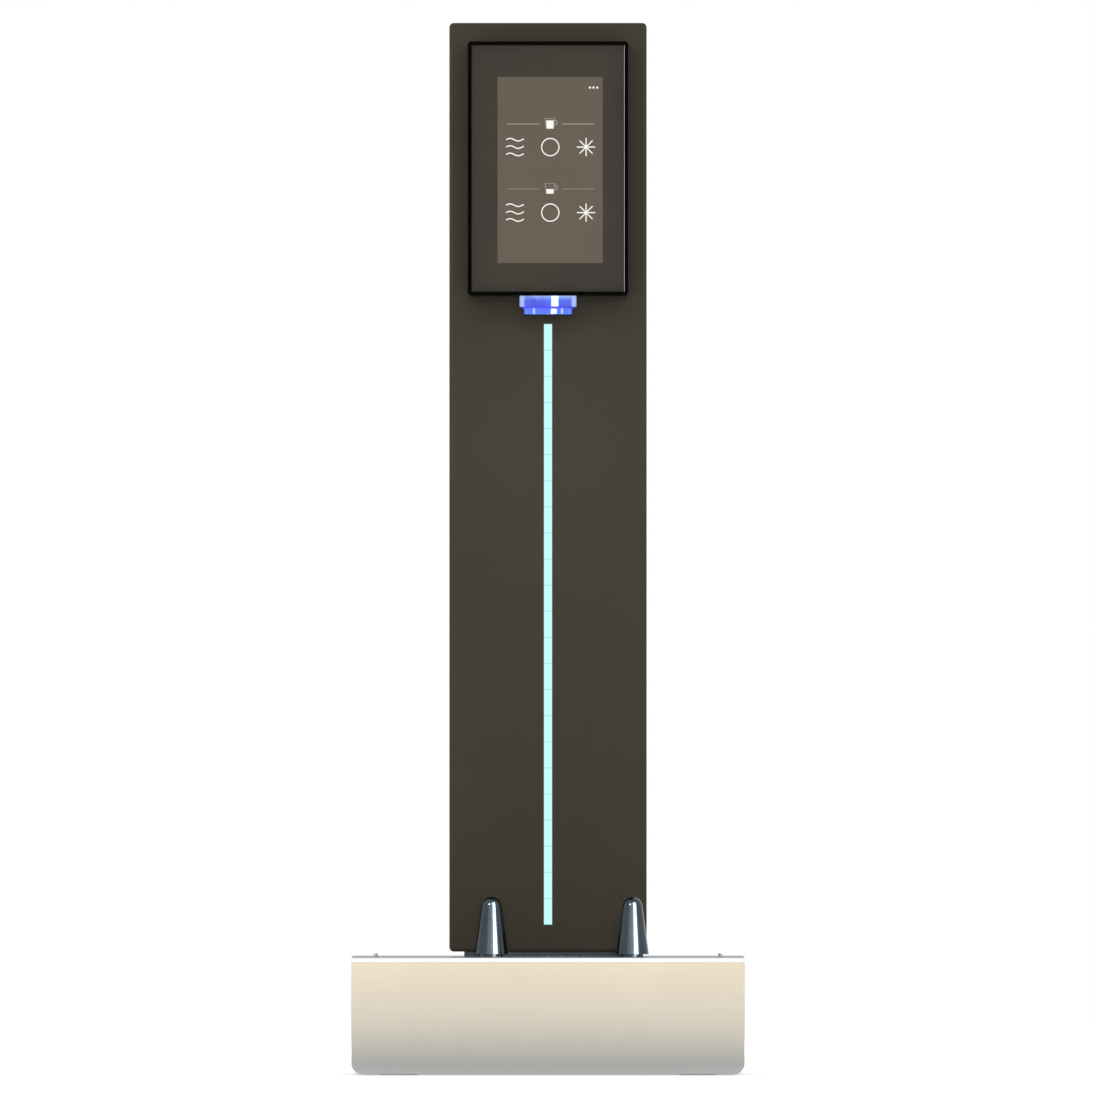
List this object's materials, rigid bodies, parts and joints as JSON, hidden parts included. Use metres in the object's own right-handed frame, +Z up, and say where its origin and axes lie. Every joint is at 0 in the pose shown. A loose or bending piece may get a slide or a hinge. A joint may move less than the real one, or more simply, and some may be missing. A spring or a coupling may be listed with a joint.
{
  "type": "water dispenser",
  "caption": "Counter water dispenser: slim tower with a touch screen, a lit spout and a light bar, on a steel base with guide posts and a lift-out drip basin.",
  "frame": {"origin": "on the counter, under the middle of the base", "axes": "+Z up, front towards -Y, +X to the viewer's right"},
  "size_m": [0.25, 0.28, 0.671],
  "materials": {
    "satin_steel": "satin stainless sheet",
    "polished_steel": "finely polished stainless sheet",
    "chrome": "polished",
    "sheet_steel": "plain steel",
    "black_screws": "blackened",
    "tower_paint": "fine matte powder coat",
    "panel_grey": "matte",
    "black_gloss": "gloss black",
    "clear_glass": "polished",
    "mask_print": "dark warm-grey print",
    "lit_screen": "lit",
    "lit_bar": "lit diffuser",
    "lit_clear": "lit clear plastic",
    "aluminium": "extruded",
    "white_plastic": "moulded",
    "water_tube": "food-grade tube",
    "rubber": "matte",
    "black_plastic": "moulded",
    "brass": "machined",
    "board_green": "solder mask"
  },
  "bodies": {
    "dispenser": {"base_shell": "satin_steel", "base_rear_panel": "satin_steel", "rear_deck": "polished_steel", "tower_bracket": "sheet_steel", "plinth_plate": "sheet_steel", "chassis": "sheet_steel", "display_frame": "sheet_steel", "power_supply": "sheet_steel", "tower_bolts": "sheet_steel", "tower_nuts": "sheet_steel", "head_screws": "sheet_steel", "small_screws": "sheet_steel", "still_spring": "sheet_steel", "sparkling_spring": "sheet_steel", "chilled_spring": "sheet_steel", "rear_screws": "black_screws", "tower_shell": "tower_paint", "rear_cover": "tower_paint", "connection_panel": "panel_grey", "head_housing": "black_gloss", "cover_glass": "clear_glass", "display_mask": "mask_print", "display_panel": "lit_screen", "light_diffuser": "lit_bar", "spout_collar": "lit_clear", "spout": "lit_clear", "light_channel": "aluminium", "light_strip": "white_plastic", "spout_lights": "white_plastic", "flow_straightener": "white_plastic", "spout_manifold": "white_plastic", "inlet_fittings": "white_plastic", "inlet_nuts": "white_plastic", "feed_tubes": "water_tube", "still_line": "water_tube", "sparkling_line": "water_tube", "chilled_line": "water_tube", "rubber_feet": "rubber", "lead_bush": "rubber", "spout_seal": "rubber", "power_leads": "rubber", "signal_lead": "rubber", "mains_inlet": "black_plastic", "tube_clip": "black_plastic", "valve_coils": "black_plastic", "still_valve": "brass", "sparkling_valve": "brass", "chilled_valve": "brass", "board_spacers": "brass", "control_board": "board_green", "driver_board": "board_green"},
    "drip_basin": {"drip_basin": "sheet_steel", "locating_pins": "sheet_steel"},
    "drip_plate": {"drip_plate": "polished_steel", "left_post": "chrome", "right_post": "chrome", "post_nuts": "sheet_steel"},
    "still_plunger": {"still_plunger": "sheet_steel"},
    "sparkling_plunger": {"sparkling_plunger": "sheet_steel"},
    "chilled_plunger": {"chilled_plunger": "sheet_steel"}
  },
  "joints": [
    {"name": "basin_lift", "type": "slide", "parent": "dispenser", "child": "drip_basin", "axis": [0, 0, 1], "range_m": [0, 0.06]},
    {"name": "plate_lift", "type": "slide", "parent": "drip_basin", "child": "drip_plate", "axis": [0, 0, 1], "range_m": [0, 0.05]},
    {"name": "still_stroke", "type": "slide", "parent": "dispenser", "child": "still_plunger", "axis": [0, 0, 1], "range_m": [0, 0.0025], "stiffness_N_per_m": 300, "springref_m": -0.002, "deforming": ["still_spring"]},
    {"name": "sparkling_stroke", "type": "slide", "parent": "dispenser", "child": "sparkling_plunger", "axis": [0, 0, 1], "range_m": [0, 0.0025], "stiffness_N_per_m": 300, "springref_m": -0.002, "deforming": ["sparkling_spring"]},
    {"name": "chilled_stroke", "type": "slide", "parent": "dispenser", "child": "chilled_plunger", "axis": [0, 0, 1], "range_m": [0, 0.0025], "stiffness_N_per_m": 300, "springref_m": -0.002, "deforming": ["chilled_spring"]}
  ]
}
